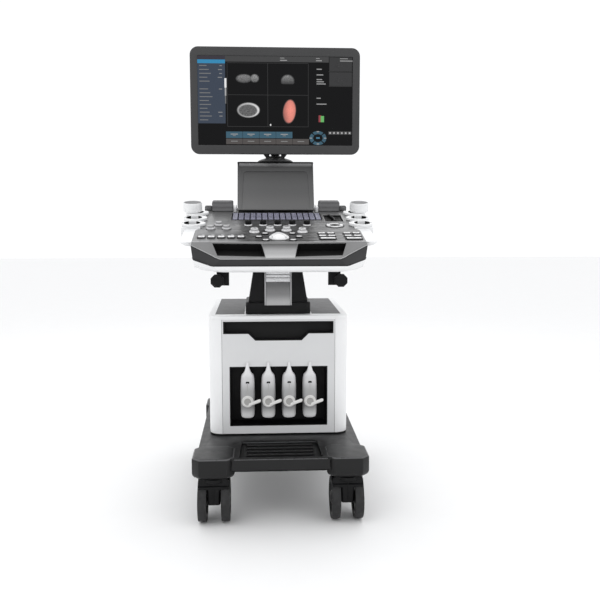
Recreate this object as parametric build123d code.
from build123d import *
import math
import os

# Cart-based ultrasound machine, in millimetres: +Z up, the user stands at -Y, X to the user's right.
#
# The origin lies on the floor, under the middle of the machine. The base rolls on four twin-wheel casters and
# carries the electronics body. A telescopic column holds the control console, and the console holds the hood
# and the tilting monitor. The console's top is a plane that rises away from the user, and what stands on it is
# placed in deck coordinates: u to the right, v up the slope from the front edge, w out of the surface.

# ---- driving dimensions ------------------------------------------------------------------------------
GAP = 0.3                 # clearance between neighbouring mouldings
WALL = 4.0                # moulded wall thickness

# base and casters
BASE_HALF_LENGTH = 360.0
BASE_HALF_WIDTH = 240.0
BLOCK_OUT = 250.0         # outer side of the corner blocks
BLOCK_IN = 130.0          # inner side of the corner blocks
BLOCK_LENGTH = 130.0
BLOCK_BOTTOM = 140.0
PLATE_BOTTOM = 160.0
BASE_TOP = 200.0
STEP_HALF_WIDTH = 118.0   # foot rest between the front blocks
STEP_REAR_Y = -185.0
STEP_DROP = 12.0
STEP_RIBS = 5
WHEEL_RADIUS = 62.5
WHEEL_WIDTH = 24.0
WHEEL_INNER_X = 21.0      # from the caster's middle to a wheel's inner side
CASTER_X = 190.0
CASTER_FRONT_Y = -322.0
CASTER_REAR_Y = 268.0
CASTER_TRAIL = 25.0
AXLE_RADIUS = 5.0
STEM_RADIUS = 7.0

# body
BODY_HALF_WIDTH = 213.0
BODY_FRONT_Y = -125.0
BODY_REAR_Y = 345.0
BODY_BOTTOM = 203.0
BODY_TOP = 570.0
BODY_CORNER = 38.0
TOP_COVER_HEIGHT = 12.0
PANEL_HALF_WIDTH = 173.0
BAY_HALF_WIDTH = 150.0
BAY_BOTTOM = 227.0
BAY_TOP = 413.0
BAY_DEPTH = 64.0
MAT_OUT = 193.0
MAT_IN = 104.0
POST = 24.0               # square tube of the chassis

# probe connectors
CONNECTOR_PITCH = 63.5
CONNECTOR_HALF_WIDTH = 22.0
CONNECTOR_FRONT_Y = -140.0
LEVER_Z = 308.0
LEVER_RADIUS = 15.0
LEVER_THICKNESS = 8.0

# column
COLUMN_BLOCK_TOP = 607.0
COLUMN_TOP = 712.0
MAST_X = 50.0
MAST_FRONT_Y = -56.0
MAST_REAR_Y = 14.0
MAST_BOTTOM = 440.0

# console
CONSOLE_BOTTOM = 720.0
DECK_FRONT_Y = -270.0
DECK_FRONT_Z = 798.6
DECK_SLOPE = 11.57        # degrees
DECK_LENGTH = 452.0
DECK_THICKNESS = 5.0
DECK_HALF_WIDTH = 246.0
DECK_REAR_HALF_WIDTH = 230.0
DECK_STEP_V = 150.0       # where the deck narrows to make room for the probe holders
NOSE_FRONT_Y = -350.0
NOSE_TOP_Z = 757.0
NOSE_BOTTOM = 739.0
BAND_DEPTH = 42.3         # the band's lower edge, below the deck's plane
NOSE_HALF_WIDTH = 183.0
NOSE_SIDE_Y = -285.0
BUMPER_THICKNESS = 12.0
WING_HALF_WIDTH = 284.0   # of the white side walls beside the deck
WING_BOTTOM = 786.0
WING_FRONT_Y = -246.0
WING_REAR_Y = -104.0

# controls, in deck coordinates
KEY_PITCH = 19.0
KEY_SIZE = 16.6
KEY_ROWS = 5
KEY_COLUMNS = 15
KEYBOARD_V = 340.0
REAR_ENCODER_V = 211.0
REAR_ENCODER_PITCH = 45.0
FRONT_ENCODERS = ((-71.0, 118.0), (-24.5, 138.0), (24.5, 138.0), (71.0, 118.0))
LEFT_KNOBS = ((-202.0, 164.0), (-155.0, 164.0), (-180.0, 214.0))
KNOB_SHAFT = 3.0
TRACKBALL_UV = (0.0, 50.0)
TRACKBALL_RADIUS = 22.0
TRACKBALL_SINK = 9.0      # the ball's centre below the deck's surface
TGC_UV = (181.0, 314.0)
TGC_SIZE = (58.0, 96.0)
TGC_ROWS = 8
TGC_TRAVEL = 8.0
NAV_UV = (176.0, 206.0)
NAV_RADIUS = 26.0

# probe holders
HOLDER_RING_V = (213.0, 292.0, 376.0)
HOLDER_CUP_U = 262.0
HOLDER_CUP_RADIUS = 25.0
HOLDER_RING_U = 257.0
HOLDER_RING_RADIUS = 37.0
RACK_IN = 234.0
RACK_OUT = 292.5
HOLDER_TOP_W = 8.5
HOLDER_BOTTOM_W = -40.0
CABLE_SLOT = 14.0
TALL_CUP_RADIUS = 35.0
TALL_CUP_TOP_W = 48.0

# speakers, in deck coordinates
SPEAKER_U = (142.0, 212.0)
SPEAKER_V = (417.0, 446.0)
SPEAKER_HEIGHT = 34.0

# hood and monitor
HOOD_HALF_WIDTH = 126.0
HOOD_FOOT_Y = 125.0
HOOD_FOOT_Z = 889.0
HOOD_TOP_Y = 195.0
HOOD_TOP_Z = 1050.0
HOOD_BACK_Y = 288.0
PIVOT_Y = 226.0           # monitor swivel axis, and the height of its tilt axis
PIVOT_Z = 1108.0
PIN_RADIUS = 5.0          # of the tilt pin
SCREEN_WIDTH = 509.0
SCREEN_HEIGHT = 286.0
MONITOR_WIDTH = 558.0
MONITOR_HEIGHT = 345.0
MONITOR_BOTTOM = 1072.0
MONITOR_FRONT_Y = 150.0
MONITOR_CORNER = 27.0

SLOPE = math.radians(DECK_SLOPE)


# ---- helpers -----------------------------------------------------------------------------------------
def block(x0, x1, y0, y1, z0, z1):
    """A box given by its limits."""
    return Pos((x0 + x1) / 2, (y0 + y1) / 2, (z0 + z1) / 2) * Box(x1 - x0, y1 - y0, z1 - z0)


def rounded_block(x0, x1, y0, y1, z0, z1, radius, top=0.0):
    """A box with its upright edges rounded, and its top edge too if top is given."""
    shape = block(x0, x1, y0, y1, z0, z1)
    shape = fillet(shape.edges().filter_by(Axis.Z), radius)
    if top:
        shape = fillet(shape.edges().group_by(Axis.Z)[-1], top)
    return shape


def plan_prism(points, z0, z1):
    """An outline of (x, y) points, extruded from z0 to z1."""
    face = make_face(Polyline(*[(x, y, z0) for x, y in points], close=True))
    return extrude(face, z1 - z0, dir=(0, 0, 1))


def side_prism(points, x0, x1):
    """An outline of (y, z) points, extruded along X from x0 to x1."""
    face = make_face(Polyline(*[(x0, y, z) for y, z in points], close=True))
    return extrude(face, x1 - x0, dir=(1, 0, 0))


def front_prism(points, y0, y1):
    """An outline of (x, z) points, extruded along Y from y0 to y1."""
    face = make_face(Polyline(*[(x, y0, z) for x, z in points], close=True))
    return extrude(face, y1 - y0, dir=(0, 1, 0))


def rod(radius, start, axis, length):
    """A cylinder from a start point along X, Y or Z."""
    return Plane(origin=start, z_dir=axis) * Pos(0, 0, length / 2) * Cylinder(radius, length)


def mirrored(points):
    """The outline's right half, followed by its mirror image."""
    return list(points) + [(-x, y) for x, y in reversed(points)]


def deck(u, v, w=0.0):
    """The place (u, v, w) on the deck, with Z along the deck's normal."""
    origin = (
        u,
        DECK_FRONT_Y + v * math.cos(SLOPE) - w * math.sin(SLOPE),
        DECK_FRONT_Z + v * math.sin(SLOPE) + w * math.cos(SLOPE),
    )
    return Plane(origin=origin, x_dir=(1, 0, 0), z_dir=(0, -math.sin(SLOPE), math.cos(SLOPE)))


def deck_block(u, v, width, length, w0, w1):
    """A box that stands on the deck, centred on (u, v), from height w0 to w1."""
    return deck(u, v, (w0 + w1) / 2) * Box(width, length, w1 - w0)


def deck_rod(u, v, radius, w0, w1):
    """A cylinder along the deck's normal, from height w0 to w1."""
    return deck(u, v, (w0 + w1) / 2) * Cylinder(radius, w1 - w0)


def save(name, *shapes):
    """Writes a node's separate solids to its STEP file."""
    solids = [solid for shape in shapes for solid in shape.solids()]
    export_step(Compound(solids), f"parts/{name}.step")


# ---- base --------------------------------------------------------------------------------------------
def corner_blocks(inset, z0, z1, radius, top=0.0):
    """The base's four corner blocks, each shrunk by inset."""
    blocks = []
    for side in (-1, 1):
        for end in (-1, 1):
            xs = sorted((side * (BLOCK_IN + inset), side * (BLOCK_OUT - inset)))
            ys = sorted((end * (BASE_HALF_LENGTH - BLOCK_LENGTH + inset), end * (BASE_HALF_LENGTH - inset)))
            blocks.append(rounded_block(*xs, *ys, z0, z1, radius, top))
    return blocks


def chassis_post_places():
    """Where the chassis posts stand in the body's corners."""
    for side in (-1, 1):
        for y in (BODY_FRONT_Y + 42, BODY_REAR_Y - 42):
            yield side * (BODY_HALF_WIDTH - 32), y


def base_cover():
    half_length = BASE_HALF_LENGTH - 10
    cover = rounded_block(
        -BASE_HALF_WIDTH, BASE_HALF_WIDTH, -half_length, half_length, PLATE_BOTTOM, BASE_TOP, 20, 6
    )
    for corner in corner_blocks(0, BLOCK_BOTTOM, BASE_TOP, 26, 6):
        cover += corner
    hollow = block(
        -BASE_HALF_WIDTH + WALL, BASE_HALF_WIDTH - WALL, -half_length + WALL, half_length - WALL,
        PLATE_BOTTOM, BASE_TOP - WALL,
    )
    for corner in corner_blocks(WALL, BLOCK_BOTTOM, BASE_TOP - WALL, 22):
        hollow += corner
    step_floor = BASE_TOP - STEP_DROP
    step_front = -half_length - 12
    hollow -= block(
        -STEP_HALF_WIDTH - WALL, STEP_HALF_WIDTH + WALL, step_front, STEP_REAR_Y + WALL,
        step_floor - WALL - 6, BASE_TOP,
    )
    cover -= hollow
    # the foot rest is sunk, falls a little towards the user and has raised ribs across it
    step = side_prism(
        [(STEP_REAR_Y, step_floor + 3), (STEP_REAR_Y, BASE_TOP + 9), (step_front, BASE_TOP + 9),
         (step_front, step_floor - 5)],
        -STEP_HALF_WIDTH, STEP_HALF_WIDTH,
    )
    step = fillet(step.edges().filter_by(Axis.X).group_by(Axis.Y)[-1].group_by(Axis.Z)[0], 5)
    cover -= step
    for rib in range(STEP_RIBS):
        y = STEP_REAR_Y - 32 - rib * 28
        fall = 8 * (STEP_REAR_Y - y) / (STEP_REAR_Y - step_front)
        z = step_floor + 3 - fall
        cover += rounded_block(-96, 96, y - 4, y + 4, z - 2, z + 3.5, 3.9)
    for x, y in chassis_post_places():
        cover -= block(
            x - POST / 2 - 1, x + POST / 2 + 1, y - POST / 2 - 1, y + POST / 2 + 1, BASE_TOP - 20, BASE_TOP + 1
        )
    return cover


def chassis_frame():
    """The welded steel frame: base rails, caster sockets, body posts and the column's seat."""
    rail_z0, rail_z1 = BLOCK_BOTTOM + 22, BLOCK_BOTTOM + 36
    frame = Part()
    for side in (-1, 1):
        xs = sorted((side * 169, side * 193))
        frame += block(*xs, CASTER_FRONT_Y - 12, CASTER_REAR_Y + 40, rail_z0, rail_z1)
    for y in (-270, -100, 90, 280):
        frame += block(-193, 193, y - 10, y + 10, rail_z0, rail_z1)
    for side in (-1, 1):
        for y in (CASTER_FRONT_Y, CASTER_REAR_Y):
            frame += rod(20, (side * CASTER_X, y, BLOCK_BOTTOM + 1), (0, 0, 1), 35)
    for x, y in chassis_post_places():
        frame += block(
            x - POST / 2, x + POST / 2, y - POST / 2, y + POST / 2, rail_z0, BODY_TOP - TOP_COVER_HEIGHT - 4
        )
    top = BODY_TOP - TOP_COVER_HEIGHT - 4
    xs = [x for x, y in chassis_post_places()]
    ys = [y for x, y in chassis_post_places()]
    half = POST / 2
    frame += block(min(xs) - half, max(xs) + half, min(ys) - half, min(ys) + half, top - POST, top)
    frame += block(min(xs) - half, max(xs) + half, max(ys) - half, max(ys) + half, top - POST, top)
    for side in (-1, 1):
        edge = sorted((side * (MAST_X + 6), side * (MAST_X + 30)))
        frame += block(*edge, min(ys) - half, max(ys) + half, top - POST, top)
    for side in (-1, 1):
        for y in (CASTER_FRONT_Y, CASTER_REAR_Y):
            frame -= rod(STEM_RADIUS + 0.05, (side * CASTER_X, y, BLOCK_BOTTOM), (0, 0, 1), 50)
    return frame


# ---- casters -----------------------------------------------------------------------------------------
def caster_fork(x, y):
    """The swivel fork between the twin wheels, with its stem, its fender and the axle pin."""
    axle_y = y + CASTER_TRAIL
    axle_z = WHEEL_RADIUS
    outer = WHEEL_INNER_X + WHEEL_WIDTH
    fork = rod(18, (x, y, axle_z - 4), (0, 0, 1), 74)
    fork += block(x - 17, x + 17, y, axle_y, axle_z - 14, axle_z + 62)
    fork += rod(17, (x - 17, axle_y, axle_z), (1, 0, 0), 34)
    fender = rod(70.5, (x - outer, axle_y, axle_z), (1, 0, 0), 2 * outer)
    fender -= rod(66.5, (x - outer - 1, axle_y, axle_z), (1, 0, 0), 2 * outer + 2)
    fender &= side_prism(
        [(axle_y, axle_z), (axle_y - 80, axle_z + 82), (axle_y - 80, axle_z + 100), (axle_y + 70, axle_z + 100)],
        x - outer - 1, x + outer + 1,
    )
    fork += fender
    fork += block(x - 17, x + 17, y - 8, axle_y + 30, axle_z + 50, axle_z + 68)
    fork += rod(30, (x, y, axle_z + 68), (0, 0, 1), BLOCK_BOTTOM - 1 - axle_z - 68)
    fork += rod(STEM_RADIUS, (x, y, axle_z + 68), (0, 0, 1), 41)
    fork -= rod(AXLE_RADIUS + 0.05, (x - 30, axle_y, axle_z), (1, 0, 0), 60)
    # the fork's parts stay clear of the wheels beside it
    for side in (-1, 1):
        edges = sorted((x + side * (WHEEL_INNER_X - 2), x + side * (outer + 2)))
        wheel_room = rod(66.5, (edges[0], axle_y, axle_z), (1, 0, 0), edges[1] - edges[0])
        fork -= wheel_room
    axle = rod(AXLE_RADIUS, (x - outer + 1, axle_y, axle_z), (1, 0, 0), 2 * outer - 2)
    return fork, axle


def caster_wheel(x, y, side):
    """One wheel of a twin pair: a rounded tyre with a dished hub."""
    inner, outer = WHEEL_INNER_X, WHEEL_INNER_X + WHEEL_WIDTH
    middle = (inner + outer) / 2
    profile = [
        (inner, AXLE_RADIUS + 0.08), (inner, 20), (inner + 4, 24), (inner + 4, 46), (inner, 50),
        (inner, WHEEL_RADIUS - 8), (inner + 6, WHEEL_RADIUS - 1), (middle, WHEEL_RADIUS),
        (outer - 6, WHEEL_RADIUS - 1), (outer, WHEEL_RADIUS - 8), (outer, 50), (outer - 4, 46),
        (outer - 4, 18), (outer, 14), (outer, AXLE_RADIUS + 0.08),
    ]
    face = make_face(Polyline(*[(a, 0, r) for a, r in profile], close=True))
    wheel = revolve(face, Axis((0, 0, 0), (1, 0, 0)), 360)
    if side < 0:
        wheel = mirror(wheel, Plane.YZ)
    return Pos(x, y + CASTER_TRAIL, WHEEL_RADIUS) * wheel


# ---- body --------------------------------------------------------------------------------------------
def body_ring(z0, z1):
    """The body's outer wall as one ring with rounded corners."""
    outer = rounded_block(
        -BODY_HALF_WIDTH, BODY_HALF_WIDTH, BODY_FRONT_Y, BODY_REAR_Y, z0, z1, BODY_CORNER
    )
    inner = rounded_block(
        -BODY_HALF_WIDTH + WALL, BODY_HALF_WIDTH - WALL, BODY_FRONT_Y + WALL, BODY_REAR_Y - WALL,
        z0 - 1, z1 + 1, BODY_CORNER - WALL,
    )
    return outer - inner


def grip_outline(inset):
    """The dark front recess: a wide slot with a deeper middle."""
    return mirrored([
        (168 - inset, 552 - inset), (168 - inset, 514 + inset), (92 - inset / 2, 514 + inset),
        (71 - inset / 2, 493 + inset),
    ])


def body_side_cover(side):
    wall_top = BODY_TOP - TOP_COVER_HEIGHT - GAP
    near, far = sorted((side * PANEL_HALF_WIDTH, side * (BODY_HALF_WIDTH + 1)))
    half = block(near, far, BODY_FRONT_Y - 1, BODY_REAR_Y + 1, BODY_BOTTOM - 1, wall_top + 1)
    return body_ring(BODY_BOTTOM, wall_top) & half


def body_front_panel():
    edge = PANEL_HALF_WIDTH - 1
    wall_top = BODY_TOP - TOP_COVER_HEIGHT - GAP
    panel = block(-edge, edge, BODY_FRONT_Y, BODY_FRONT_Y + WALL, BODY_BOTTOM, wall_top)
    panel -= block(
        -BAY_HALF_WIDTH, BAY_HALF_WIDTH, BODY_FRONT_Y - 1, BODY_FRONT_Y + WALL + 1, BAY_BOTTOM, BAY_TOP
    )
    panel -= front_prism(grip_outline(0), BODY_FRONT_Y - 1, BODY_FRONT_Y + WALL + 1)
    return panel


def front_grip_insert():
    tray = front_prism(grip_outline(GAP), BODY_FRONT_Y + 1, BODY_FRONT_Y + 25)
    return tray - front_prism(grip_outline(GAP + 3), BODY_FRONT_Y, BODY_FRONT_Y + 21)


def body_top_cover():
    cover = rounded_block(
        -BODY_HALF_WIDTH, BODY_HALF_WIDTH, BODY_FRONT_Y, BODY_REAR_Y, BODY_TOP - TOP_COVER_HEIGHT, BODY_TOP,
        BODY_CORNER, 4,
    )
    for side in (-1, 1):
        near, far = sorted((side * (MAT_IN - GAP), side * (MAT_OUT + GAP)))
        cover -= block(near, far, BODY_FRONT_Y + 35 - GAP, BODY_REAR_Y - 24, BODY_TOP - 3, BODY_TOP + 1)
    cover -= block(-MAST_X - 4, MAST_X + 4, MAST_FRONT_Y - 4, MAST_REAR_Y + 4, BODY_TOP - 20, BODY_TOP + 1)
    return cover


def body_top_mats():
    mats = []
    for side in (-1, 1):
        near, far = sorted((side * MAT_IN, side * MAT_OUT))
        mats.append(block(near, far, BODY_FRONT_Y + 35, BODY_REAR_Y - 24 - GAP, BODY_TOP - 3, BODY_TOP))
    return mats


def body_rear_panel():
    edge = PANEL_HALF_WIDTH - 1
    wall_top = BODY_TOP - TOP_COVER_HEIGHT - GAP
    panel = block(-edge, edge, BODY_REAR_Y - WALL, BODY_REAR_Y, BODY_BOTTOM, wall_top)
    for row in range(9):
        for column in (-1, 0, 1):
            x, z = column * 104, 440 + row * 11
            panel -= block(x - 44, x + 44, BODY_REAR_Y - WALL - 1, BODY_REAR_Y + 1, z - 2.5, z + 2.5)
    # the mains inlet and the socket strip lie in windows
    panel -= block(-150, -95, BODY_REAR_Y - WALL - 1, BODY_REAR_Y + 1, 232, 262)
    panel -= block(-20, 150, BODY_REAR_Y - WALL - 1, BODY_REAR_Y + 1, 300, 380)
    return panel


def rear_sockets():
    """The mains inlet and the video and network socket plate, behind the rear panel's windows."""
    inlet = block(-154, -91, BODY_REAR_Y - WALL - 30, BODY_REAR_Y - WALL - GAP, 228, 266)
    inlet -= block(-141, -113, BODY_REAR_Y - WALL - 22, BODY_REAR_Y, 238, 256)
    plate = block(-24, 154, BODY_REAR_Y - WALL - 16, BODY_REAR_Y - WALL - GAP, 296, 384)
    for column in range(4):
        x = -6 + column * 40
        plate -= block(x, x + 26, BODY_REAR_Y - WALL - 12, BODY_REAR_Y, 350, 366)
        plate -= block(x + 4, x + 20, BODY_REAR_Y - WALL - 12, BODY_REAR_Y, 316, 330)
    return inlet, plate


def connector_bay():
    """The dark bay in the front panel, with one socket for each probe connector on its back wall."""
    back_y = BODY_FRONT_Y + BAY_DEPTH
    edge = BAY_HALF_WIDTH - GAP
    bay = block(-edge, edge, BODY_FRONT_Y + 0.5, back_y, BAY_BOTTOM + GAP, BAY_TOP - GAP)
    bay -= block(-edge + 3, edge - 3, BODY_FRONT_Y, back_y - 3, BAY_BOTTOM + 3, BAY_TOP - 3)
    sockets = []
    for x in connector_places():
        sockets.append(rounded_block(x - 17, x + 17, back_y - 13, back_y - 3, 268, 380, 3))
    return bay, sockets


def connector_places():
    return [(index - 1.5) * CONNECTOR_PITCH for index in range(4)]


def probe_connector(x):
    """A connector housing that stands out of its socket, and its strain relief on top."""
    back_y = BODY_FRONT_Y + BAY_DEPTH - 13
    half = CONNECTOR_HALF_WIDTH
    outline = Polyline(
        (x + half - 2, back_y, 262), (x + half, back_y, 322), (x + half - 2, back_y, 376),
        (x + 14, back_y, 390), (x + 8, back_y, 399), (x - 8, back_y, 399), (x - 14, back_y, 390),
        (x - half + 2, back_y, 376), (x - half, back_y, 322), (x - half + 2, back_y, 262),
    )
    foot = ThreePointArc((x - half + 2, back_y, 262), (x, back_y, 254), (x + half - 2, back_y, 262))
    housing = extrude(make_face([outline, foot]), back_y - CONNECTOR_FRONT_Y, dir=(0, -1, 0))
    housing = fillet(housing.edges().group_by(Axis.Y)[0], 5)
    housing -= rod(4.1, (x, CONNECTOR_FRONT_Y - 1, LEVER_Z), (0, 1, 0), 13)
    relief_y = CONNECTOR_FRONT_Y + 8
    relief = Pos(x, relief_y, 414) * Cone(6.5, 3.4, 29.5)
    relief -= rod(2.2, (x, relief_y, 419), (0, 0, 1), 20)
    return housing, relief


def connector_lever(x):
    """The lock lever: a round boss, an arm that leaves it at the bottom, and its spindle."""
    front_y = CONNECTOR_FRONT_Y - GAP - LEVER_THICKNESS
    lever = rod(LEVER_RADIUS, (x, front_y, LEVER_Z), (0, 1, 0), LEVER_THICKNESS)
    arm = front_prism(
        [(x + 1, LEVER_Z - 15), (x + 39, LEVER_Z - 1), (x + 36, LEVER_Z + 7.5), (x + 2, LEVER_Z - 4)],
        front_y, front_y + LEVER_THICKNESS,
    )
    lever += arm
    lever += rod(4.4, (x + 37.5, front_y, LEVER_Z + 3.2), (0, 1, 0), LEVER_THICKNESS)
    lever += rod(4.0, (x, front_y + LEVER_THICKNESS, LEVER_Z), (0, 1, 0), 10)
    return lever


def electronics_rack():
    """The card cage inside the body: a tray, two cheeks, and boards that stand between them."""
    rack = block(-140, 140, -40, 300, 225, 229)
    for side in (-1, 1):
        near, far = sorted((side * 136, side * 140))
        rack += block(near, far, -40, 300, 225, 420)
    for card in range(6):
        y = -20 + card * 44
        rack += block(-136, 136, y, y + 2.4, 229, 400)
    return rack


# ---- column ------------------------------------------------------------------------------------------
def column_base():
    foot = rounded_block(-100, 100, -93, 68, BODY_TOP, COLUMN_BLOCK_TOP, 16, 5)
    return foot - block(
        -MAST_X - 4, MAST_X + 4, MAST_FRONT_Y - 4, MAST_REAR_Y + 4, BODY_TOP - 1, COLUMN_BLOCK_TOP + 1
    )


def column_shroud():
    """The fixed black shroud, which narrows and leans back a little towards the console."""
    low, high = COLUMN_BLOCK_TOP, COLUMN_TOP
    front_view = front_prism(mirrored([(91, low), (74, high)]), -200, 200)
    side_view = side_prism([(-82, low), (-74, high), (46, high), (54, low)], -120, 120)
    shroud = front_view & side_view
    return shroud - block(
        -MAST_X - 3, MAST_X + 3, MAST_FRONT_Y - 3, MAST_REAR_Y + 3, low - 1, high + 1
    )


def column_front_cover():
    """The grey strip on the column's front: a thick lower panel and a thinner grooved upper one."""
    lean = 8 / (COLUMN_TOP - COLUMN_BLOCK_TOP)
    step_z = 672.0

    def face_y(z):
        return -82 - GAP + lean * (z - COLUMN_BLOCK_TOP)

    lower = side_prism(
        [(face_y(COLUMN_BLOCK_TOP + 1), COLUMN_BLOCK_TOP + 1), (face_y(step_z), step_z),
         (face_y(step_z) - 12, step_z), (face_y(COLUMN_BLOCK_TOP) - 12, COLUMN_BLOCK_TOP + 1)],
        -42, 42,
    )
    lower = fillet(lower.edges().filter_by(Axis.Y).group_by(Axis.Z)[-1], 9)
    upper = side_prism(
        [(face_y(step_z - 20), step_z - 20), (face_y(COLUMN_TOP), COLUMN_TOP),
         (face_y(COLUMN_TOP) - 6, COLUMN_TOP), (face_y(step_z) - 6, step_z - 20)],
        -42, 42,
    )
    strip = lower + upper
    for z in (682, 694):
        strip -= block(-43, 43, face_y(z) - 8, face_y(z) - 4, z - 1.2, z + 1.2)
    return strip


def column_mast():
    """The moving inner tube, which carries the console on its top plate."""
    mast = rounded_block(-MAST_X, MAST_X, MAST_FRONT_Y, MAST_REAR_Y, MAST_BOTTOM, CONSOLE_BOTTOM - 5, 8)
    mast -= block(
        -MAST_X + 5, MAST_X - 5, MAST_FRONT_Y + 5, MAST_REAR_Y - 5, MAST_BOTTOM - 1, CONSOLE_BOTTOM - 10
    )
    return mast + block(-70, 70, -80, 40, CONSOLE_BOTTOM - 5, CONSOLE_BOTTOM)


# ---- console -----------------------------------------------------------------------------------------
def above_deck(depth):
    """Everything above the deck's plane lowered by depth, as a big cutting solid."""
    return deck(0, 200, 200 - depth) * Box(900, 1400, 400)


def above_nose(depth):
    """Everything above the nose's sloped top lowered by depth."""
    run = DECK_FRONT_Y - NOSE_FRONT_Y
    rise = DECK_FRONT_Z - NOSE_TOP_Z
    return side_prism(
        [(DECK_FRONT_Y + 60, DECK_FRONT_Z + 60 * rise / run - depth), (DECK_FRONT_Y + 60, DECK_FRONT_Z + 400),
         (NOSE_FRONT_Y - 60, DECK_FRONT_Z + 400), (NOSE_FRONT_Y - 60, NOSE_TOP_Z - 60 * rise / run - depth)],
        -400, 400,
    )


def nose_outline(inset):
    """The console's chamfered front in plan, shrunk by inset, up to the deck's front edge."""
    return mirrored([
        (DECK_HALF_WIDTH + 2 - inset, DECK_FRONT_Y), (DECK_HALF_WIDTH + 2 - inset, NOSE_SIDE_Y + inset / 2),
        (NOSE_HALF_WIDTH - inset / 2, NOSE_FRONT_Y + inset),
    ])


def console_lower_shell():
    """The white tub under the deck, its two side wings and the raised housing at the back."""
    rear_y = 178.0
    tub = plan_prism(
        mirrored([(DECK_REAR_HALF_WIDTH - 2, rear_y), (DECK_REAR_HALF_WIDTH - 2, -118),
                  (DECK_HALF_WIDTH - 2, -128), (DECK_HALF_WIDTH - 2, -262), (DECK_HALF_WIDTH - 6, -272),
                  (DECK_HALF_WIDTH - 6, NOSE_SIDE_Y + 2), (NOSE_HALF_WIDTH - 2, NOSE_FRONT_Y + 4)]),
        CONSOLE_BOTTOM, 960,
    )
    hollow = plan_prism(
        mirrored([(DECK_REAR_HALF_WIDTH - 6, rear_y - WALL), (DECK_REAR_HALF_WIDTH - 6, -120),
                  (DECK_HALF_WIDTH - 6, -131), (DECK_HALF_WIDTH - 6, -260), (DECK_HALF_WIDTH - 10, -274),
                  (DECK_HALF_WIDTH - 10, NOSE_SIDE_Y + 4), (NOSE_HALF_WIDTH - 4, NOSE_FRONT_Y + 8)]),
        CONSOLE_BOTTOM + WALL, 970,
    )
    shell = tub - hollow
    # what lies in front of the deck belongs to the band and the nose
    front_top = above_deck(BAND_DEPTH + GAP) & block(-300, 300, NOSE_FRONT_Y - 5, DECK_FRONT_Y, 700, 900)
    shell -= front_top
    shell -= plan_prism(nose_outline(0), NOSE_BOTTOM, 900) & above_deck(BAND_DEPTH + GAP)
    for side in (-1, 1):
        near, far = sorted((side * (DECK_HALF_WIDTH - 6), side * WING_HALF_WIDTH))
        wing = block(near, far, WING_FRONT_Y, WING_REAR_Y, WING_BOTTOM, 960)
        outside = wing.edges().filter_by(Axis.Z).group_by(Axis.X)[0 if side < 0 else -1]
        wing = fillet(outside, 24)
        shell += wing
    shell -= above_deck(DECK_THICKNESS + GAP)
    rear_end = HOOD_BACK_Y + 10
    rear = rounded_block(-150, 150, rear_y - 2, rear_end, 760, 898, 18, 5)
    rear -= block(-150 + WALL, 150 - WALL, rear_y + WALL, rear_end - WALL, 759, 898 - WALL)
    return shell + rear


def nose_well_outline(inset):
    """One hand grip opening, the right one, as (x, y) in plan."""
    return [
        (46 + inset, DECK_FRONT_Y - 6 - inset), (182 - inset, DECK_FRONT_Y - 6 - inset),
        (166 - inset, DECK_FRONT_Y - 62 + inset), (36 + inset, DECK_FRONT_Y - 62 + inset),
    ]


def both_sides(outline):
    return [outline, [(-x, y) for x, y in outline]]


def front_bumper():
    """The charcoal band round the console's front."""
    band = plan_prism(nose_outline(0), NOSE_BOTTOM - 5, 900)
    band -= plan_prism(nose_outline(BUMPER_THICKNESS), NOSE_BOTTOM - 6, 901)
    band -= above_nose(0)
    return band & above_deck(BAND_DEPTH)


def grip_wells():
    """Two dark pockets behind the front bar, for the user's fingers."""
    wells = []
    for outline, inside in zip(both_sides(nose_well_outline(0.4)), both_sides(nose_well_outline(2.9))):
        well = plan_prism(outline, NOSE_BOTTOM + 2, 900) - plan_prism(inside, NOSE_BOTTOM + 5, 901)
        wells.append(well - above_nose(1))
    return wells


def cable_hooks():
    """Hooks under the console: a stem, an arm towards the user and a wide end that keeps cables on it."""
    hooks = []
    for side in (-1, 1):
        x = side * 178
        near, far = sorted((side * 146, side * 182))
        stem = block(near, far, -184, -172, 668, CONSOLE_BOTTOM - GAP)
        stem += rod(12, (x, -226, 686), (0, 1, 0), 54)
        octagon = [
            (x + 20 * math.cos(math.radians(22.5 + 45 * k)), 686 + 20 * math.sin(math.radians(22.5 + 45 * k)))
            for k in range(8)
        ]
        hooks.append(stem + front_prism(octagon, -236, -226))
    return hooks


def key_places():
    """Centres of the keyboard's keys."""
    for row in range(KEY_ROWS):
        for column in range(KEY_COLUMNS):
            yield (
                (column - (KEY_COLUMNS - 1) / 2) * KEY_PITCH,
                KEYBOARD_V + ((KEY_ROWS - 1) / 2 - row) * KEY_PITCH,
            )


def function_key_places():
    """Centre, width and length of each function key."""
    for index in range(5):
        yield -222 + index * 28.2, 54.0, 20.0, 16.0
    for u, v in ((40, 96), (58, 56), (39, 16)):
        for side in (-1, 1):
            yield side * u, v, 17.0, 12.0
    for u in (126, 153, 201, 228):
        for v in (98, 65):
            yield u, v, 21.0, 13.0
    yield 139.5, 34.0, 46.0, 14.0
    yield 214.5, 34.0, 46.0, 14.0


def knob_places():
    """Name, centre, radius and height of every rotary control."""
    for index in range(5):
        yield f"rear_encoder_{index + 1}", (index - 2) * REAR_ENCODER_PITCH, REAR_ENCODER_V, 12.5, 16.0
    for index, (u, v) in enumerate(FRONT_ENCODERS):
        yield f"front_encoder_{index + 1}", u, v, 15.5, 14.0
    for index, (u, v) in enumerate(LEFT_KNOBS):
        yield f"left_knob_{index + 1}", u, v, 13.0, 12.0


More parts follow.
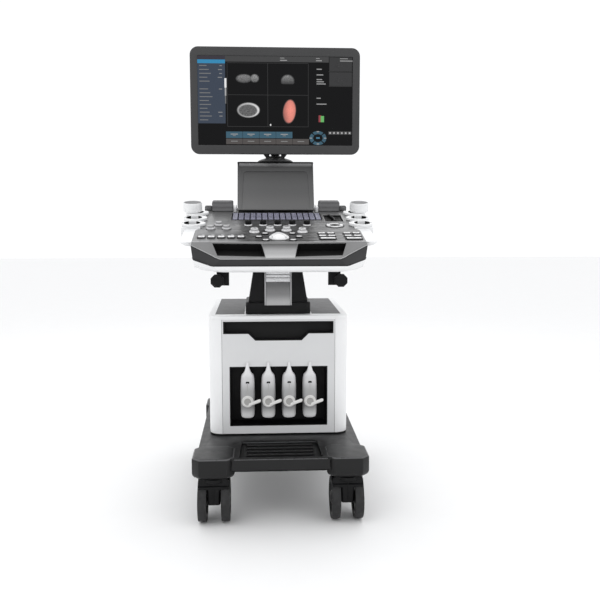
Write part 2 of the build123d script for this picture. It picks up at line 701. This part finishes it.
def console_deck():
    """The grey top: the control surface, the sloped nose with its grip openings, and the key openings."""
    top = DECK_THICKNESS
    slab = deck(0, DECK_LENGTH / 2, -top / 2) * Box(2 * DECK_REAR_HALF_WIDTH, DECK_LENGTH, top)
    slab += deck(0, DECK_STEP_V / 2, -top / 2) * Box(2 * DECK_HALF_WIDTH, DECK_STEP_V, top)
    nose = plan_prism(nose_outline(BUMPER_THICKNESS + GAP), 700, 900) - above_nose(0)
    slab += nose & above_nose(top)
    for outline in both_sides(nose_well_outline(0)):
        slab -= plan_prism(outline, 700, 900)
    for side in (-1, 1):
        slab += deck_block(side * 135.5, 425, 11, 34, -1, 20)
    # the keyboard sits in a shallow tray
    width, length = KEY_COLUMNS * KEY_PITCH + 4, KEY_ROWS * KEY_PITCH + 4
    slab += deck_block(0, KEYBOARD_V, width + 6, length + 6, -13, -1)
    slab -= deck_block(0, KEYBOARD_V, width, length, -10, 1)
    # so do the slide controls
    slab += deck_block(*TGC_UV, TGC_SIZE[0] + 4, TGC_SIZE[1] + 4, -8, -1)
    slab -= deck_block(*TGC_UV, TGC_SIZE[0], TGC_SIZE[1], -5, 1)
    for u, v, key_width, key_length in function_key_places():
        slab -= deck_block(u, v, key_width + 1.2, key_length + 1.2, -top - 1, 1)
    for name, u, v, radius, height in knob_places():
        slab -= deck_rod(u, v, KNOB_SHAFT + 0.1, -top - 1, 1)
    slab -= deck_rod(*TRACKBALL_UV, TRACKBALL_RADIUS + 1, -top - 1, 1)
    slab -= deck_rod(*NAV_UV, NAV_RADIUS + 0.8, -top - 1, 1)
    return slab


def keycap(u, v):
    """One keyboard key, smaller at its top."""
    key = Box(KEY_SIZE, KEY_SIZE, 8.5)
    key = chamfer(key.edges().group_by(Axis.Z)[-1], 1)
    return deck(u, v, -1.75) * key


def function_keys():
    return [
        deck_block(u, v, width, length, -8, 3.0)
        for u, v, width, length in function_key_places()
    ]


def nav_pad():
    """The round navigation ring's quarters and its middle key, as one raised rocker and a button."""
    ring = deck_rod(*NAV_UV, NAV_RADIUS, -8, 3.0) - deck_rod(*NAV_UV, 11, -9, 4)
    return ring, deck_rod(*NAV_UV, 10, -8, 3.5)


def knob(u, v, radius, height):
    """A control knob: a skirt, a grip above it and a shaft down through the deck."""
    skirt = deck_rod(u, v, radius, 0.4, 4)
    grip = deck_rod(u, v, radius * 0.78, 4, height)
    return skirt + grip + deck_rod(u, v, KNOB_SHAFT, -8, 0.4)


def tgc_sliders():
    """Eight slide controls, set on a curve as a user leaves them."""
    sliders = []
    for row in range(TGC_ROWS):
        u = TGC_UV[0] - 10 + 12 * math.sin(row / (TGC_ROWS - 1) * math.pi * 0.6)
        v = TGC_UV[1] + ((TGC_ROWS - 1) / 2 - row) * 11.6
        sliders.append(deck_block(u, v, 9, 5, -4.5, 3.5))
    return sliders


def trackball_surround():
    """The white ring round the trackball, held in the deck."""
    ring = deck_rod(*TRACKBALL_UV, 28, 0.2, 2.4)
    ball_room = deck(*TRACKBALL_UV, -TRACKBALL_SINK) * Sphere(TRACKBALL_RADIUS + 0.4)
    return ring - ball_room


def speakers():
    """The loudspeakers beside the hood's foot, and a low dark end piece behind each of them."""
    pods = []
    middle_v = sum(SPEAKER_V) / 2
    length = SPEAKER_V[1] - SPEAKER_V[0]
    width = SPEAKER_U[1] - SPEAKER_U[0]
    for side in (-1, 1):
        pod = deck_block(side * sum(SPEAKER_U) / 2, middle_v, width, length, 0.3, SPEAKER_HEIGHT)
        pod = fillet(pod.edges().group_by(Axis.Z)[-1], 6)
        pods.append(pod)
        pods.append(deck_block(side * 225, 440, 24, 14, 0.3, 16))
    return pods


# ---- probe holders ----------------------------------------------------------------------------------
def probe_holder(side):
    """A rack of three cups along the console's side. Each cup has a slot for the probe's cable."""
    first, last = HOLDER_RING_V[0], HOLDER_RING_V[-1]
    centre_u = side * (RACK_IN + RACK_OUT) / 2
    height = HOLDER_TOP_W - HOLDER_BOTTOM_W
    rack = deck(centre_u, (first + last) / 2, HOLDER_BOTTOM_W + height / 2) * Box(
        RACK_OUT - RACK_IN, last - first + 66, height
    )
    rack = fillet(rack.edges().filter_by(lambda e: abs(e.length - height) < 0.01), 24)
    for v in HOLDER_RING_V:
        rack += deck_rod(side * HOLDER_RING_U, v, HOLDER_RING_RADIUS, 0.5, HOLDER_TOP_W)
    for v in HOLDER_RING_V:
        rack -= deck_rod(side * HOLDER_CUP_U, v, HOLDER_CUP_RADIUS, HOLDER_BOTTOM_W - 1, HOLDER_TOP_W + 1)
        rack -= deck_block(
            side * (HOLDER_CUP_U + 30), v, 60, CABLE_SLOT, HOLDER_BOTTOM_W - 1, HOLDER_TOP_W + 1
        )
    return rack


def tall_cup(side):
    """The taller cup that stands in the rack's rear ring, with a slit for a cable."""
    place = side * HOLDER_CUP_U, HOLDER_RING_V[-1]
    cup = deck_rod(*place, HOLDER_CUP_RADIUS - GAP, HOLDER_BOTTOM_W + 2, HOLDER_TOP_W + 1)
    cup += deck_rod(*place, TALL_CUP_RADIUS, HOLDER_TOP_W + GAP, TALL_CUP_TOP_W)
    cup -= deck_rod(*place, HOLDER_CUP_RADIUS - GAP - 3, HOLDER_BOTTOM_W + 5, HOLDER_TOP_W + 2)
    cup -= deck_rod(*place, TALL_CUP_RADIUS - 3, HOLDER_TOP_W + 4, TALL_CUP_TOP_W + 1)
    return cup


# ---- hood and monitor --------------------------------------------------------------------------------
def hood_point(t, offset):
    """A (y, z) point on the hood's front: t from its foot to its top, offset backwards."""
    dy, dz = HOOD_TOP_Y - HOOD_FOOT_Y, HOOD_TOP_Z - HOOD_FOOT_Z
    length = math.hypot(dy, dz)
    return (
        HOOD_FOOT_Y + t * dy + offset * dz / length,
        HOOD_FOOT_Z + t * dz - offset * dy / length,
    )


def hood_cover():
    """The grey front plate, with a rounded top edge and a shallow recess."""
    plate = side_prism([hood_point(0, 0), hood_point(1, 0), hood_point(1, 12), hood_point(0, 12)],
                       -HOOD_HALF_WIDTH, HOOD_HALF_WIDTH)
    plate = fillet(plate.edges().filter_by(Axis.X).group_by(Axis.Z)[-1], 5)
    recess = side_prism(
        [hood_point(0.06, -1), hood_point(0.88, -1), hood_point(0.88, 1.6), hood_point(0.06, 0.4)],
        -106, 106,
    )
    return plate - recess


def hood_housing():
    """The black shell behind the plate."""
    lean_foot = hood_point(0, 12 + GAP)
    lean_top = hood_point(1, 12 + GAP)
    low = 899.0
    shell = side_prism(
        [(lean_foot[0] + 12, low), lean_top, (lean_top[0] + 4, HOOD_TOP_Z), (HOOD_BACK_Y, HOOD_TOP_Z),
         (HOOD_BACK_Y, low)],
        -HOOD_HALF_WIDTH - 2, HOOD_HALF_WIDTH + 2,
    )
    hollow = side_prism(
        [(lean_foot[0] + 22, low - 1), (lean_top[0] + 8, HOOD_TOP_Z - WALL),
         (HOOD_BACK_Y - WALL, HOOD_TOP_Z - WALL), (HOOD_BACK_Y - WALL, low - 1)],
        -HOOD_HALF_WIDTH + 2, HOOD_HALF_WIDTH - 2,
    )
    return shell - hollow


def monitor_yoke():
    """The swivel turntable on the hood, with two flared arms that carry the tilt pin."""
    foot_z = HOOD_TOP_Z + 0.5
    yoke = Pos(0, PIVOT_Y, foot_z + 7) * Cone(60, 30, 14)
    yoke += rod(30, (0, PIVOT_Y, foot_z + 13), (0, 0, 1), 6)
    for side in (-1, 1):
        near, far = sorted((side * 20, side * 43))
        arm = side_prism(
            [(PIVOT_Y - 16, foot_z + 14), (PIVOT_Y - 13, PIVOT_Z), (PIVOT_Y - 9, PIVOT_Z + 9),
             (PIVOT_Y + 9, PIVOT_Z + 9), (PIVOT_Y + 13, PIVOT_Z), (PIVOT_Y + 16, foot_z + 14)],
            near, far,
        )
        # the arms flare out from the turntable
        taper = front_prism(
            [(side * 20, foot_z + 10), (side * 28, foot_z + 10), (side * 43, foot_z + 30),
             (side * 43, PIVOT_Z + 20), (side * 20, PIVOT_Z + 20)],
            PIVOT_Y - 40, PIVOT_Y + 40,
        )
        yoke += arm & taper
    return yoke + rod(PIN_RADIUS, (-38, PIVOT_Y, PIVOT_Z), (1, 0, 0), 76)


def rounded_front(width, height, z0, y0, y1, radius):
    """A plate that faces the user, with rounded corners."""
    plate = block(-width / 2, width / 2, y0, y1, z0, z0 + height)
    return fillet(plate.edges().filter_by(Axis.Y), radius)


def monitor_bezel():
    frame = rounded_front(
        MONITOR_WIDTH, MONITOR_HEIGHT, MONITOR_BOTTOM, MONITOR_FRONT_Y, MONITOR_FRONT_Y + 16, MONITOR_CORNER
    )
    frame = fillet(frame.edges().group_by(Axis.Y)[0], 3)
    middle = MONITOR_BOTTOM + MONITOR_HEIGHT / 2
    frame -= block(
        -SCREEN_WIDTH / 2, SCREEN_WIDTH / 2, MONITOR_FRONT_Y - 1, MONITOR_FRONT_Y + 17,
        middle - SCREEN_HEIGHT / 2, middle + SCREEN_HEIGHT / 2,
    )
    return frame


def monitor_screen():
    middle = MONITOR_BOTTOM + MONITOR_HEIGHT / 2
    half_width, half_height = SCREEN_WIDTH / 2 - 0.2, SCREEN_HEIGHT / 2 - 0.2
    return block(
        -half_width, half_width, MONITOR_FRONT_Y + 2, MONITOR_FRONT_Y + 8,
        middle - half_height, middle + half_height,
    )


def monitor_rear_cover():
    """The stepped back of the monitor, with the knuckle that turns on the yoke's pin."""
    y0 = MONITOR_FRONT_Y + 16 + GAP
    back = rounded_front(MONITOR_WIDTH - 2, MONITOR_HEIGHT - 2, MONITOR_BOTTOM + 1, y0, y0 + 12, MONITOR_CORNER - 1)
    back += rounded_front(
        MONITOR_WIDTH - 90, MONITOR_HEIGHT - 70, MONITOR_BOTTOM + 40, y0 + 11, y0 + 34, MONITOR_CORNER
    )
    back -= block(-60, 60, y0 + 12, y0 + 60, MONITOR_BOTTOM, MONITOR_BOTTOM + 72)
    back -= block(
        -SCREEN_WIDTH / 2 + 40, SCREEN_WIDTH / 2 - 40, y0 - 1, y0 + 30, MONITOR_BOTTOM + 80,
        MONITOR_BOTTOM + MONITOR_HEIGHT - 40,
    )
    knuckle = block(-15, 15, y0 + 4, PIVOT_Y, PIVOT_Z - 9, PIVOT_Z + 9)
    knuckle += rod(12, (-15, PIVOT_Y, PIVOT_Z), (1, 0, 0), 30)
    back += knuckle
    back -= rod(PIN_RADIUS + 0.06, (-20, PIVOT_Y, PIVOT_Z), (1, 0, 0), 40)
    return back


# ---- write every node --------------------------------------------------------------------------------
def main():
    os.makedirs("parts", exist_ok=True)
    save("base_cover", base_cover())
    save("chassis_frame", chassis_frame())
    for name, x, y in (
        ("front_left", -CASTER_X, CASTER_FRONT_Y), ("front_right", CASTER_X, CASTER_FRONT_Y),
        ("rear_left", -CASTER_X, CASTER_REAR_Y), ("rear_right", CASTER_X, CASTER_REAR_Y),
    ):
        save(f"{name}_caster_fork", *caster_fork(x, y))
        save(f"{name}_caster_wheels", *[caster_wheel(x, y, side) for side in (-1, 1)])
    save("body_left_cover", body_side_cover(-1))
    save("body_right_cover", body_side_cover(1))
    save("body_front_panel", body_front_panel())
    save("body_top_cover", body_top_cover())
    save("body_top_mats", *body_top_mats())
    save("body_rear_panel", body_rear_panel(), *rear_sockets())
    save("front_grip_insert", front_grip_insert())
    bay, sockets = connector_bay()
    save("connector_bay", bay, *sockets)
    save("electronics_rack", electronics_rack())
    save("probe_connectors", *[piece for x in connector_places() for piece in probe_connector(x)])
    for index, x in enumerate(connector_places()):
        save(f"connector_lever_{index + 1}", connector_lever(x))
    save("column_base", column_base())
    save("column_shroud", column_shroud())
    save("column_front_cover", column_front_cover())
    save("column_mast", column_mast())
    save("console_lower_shell", console_lower_shell())
    save("console_deck", console_deck())
    save("front_bumper", front_bumper(), *grip_wells())
    save("cable_hooks", *cable_hooks())
    save("keyboard_keys", *[keycap(u, v) for u, v in key_places()])
    save("function_keys", *function_keys(), *nav_pad())
    save("tgc_sliders", *tgc_sliders())
    for name, u, v, radius, height in knob_places():
        save(name, knob(u, v, radius, height))
    save("trackball", deck(*TRACKBALL_UV, -TRACKBALL_SINK) * Sphere(TRACKBALL_RADIUS))
    save("trackball_surround", trackball_surround())
    save("speakers", *speakers())
    save("probe_holder_left", probe_holder(-1))
    save("probe_holder_right", probe_holder(1))
    save("tall_cup_left", tall_cup(-1))
    save("tall_cup_right", tall_cup(1))
    save("hood_cover", hood_cover())
    save("hood_housing", hood_housing())
    save("monitor_yoke", monitor_yoke())
    save("monitor_bezel", monitor_bezel())
    save("monitor_screen", monitor_screen())
    save("monitor_rear_cover", monitor_rear_cover())


main()
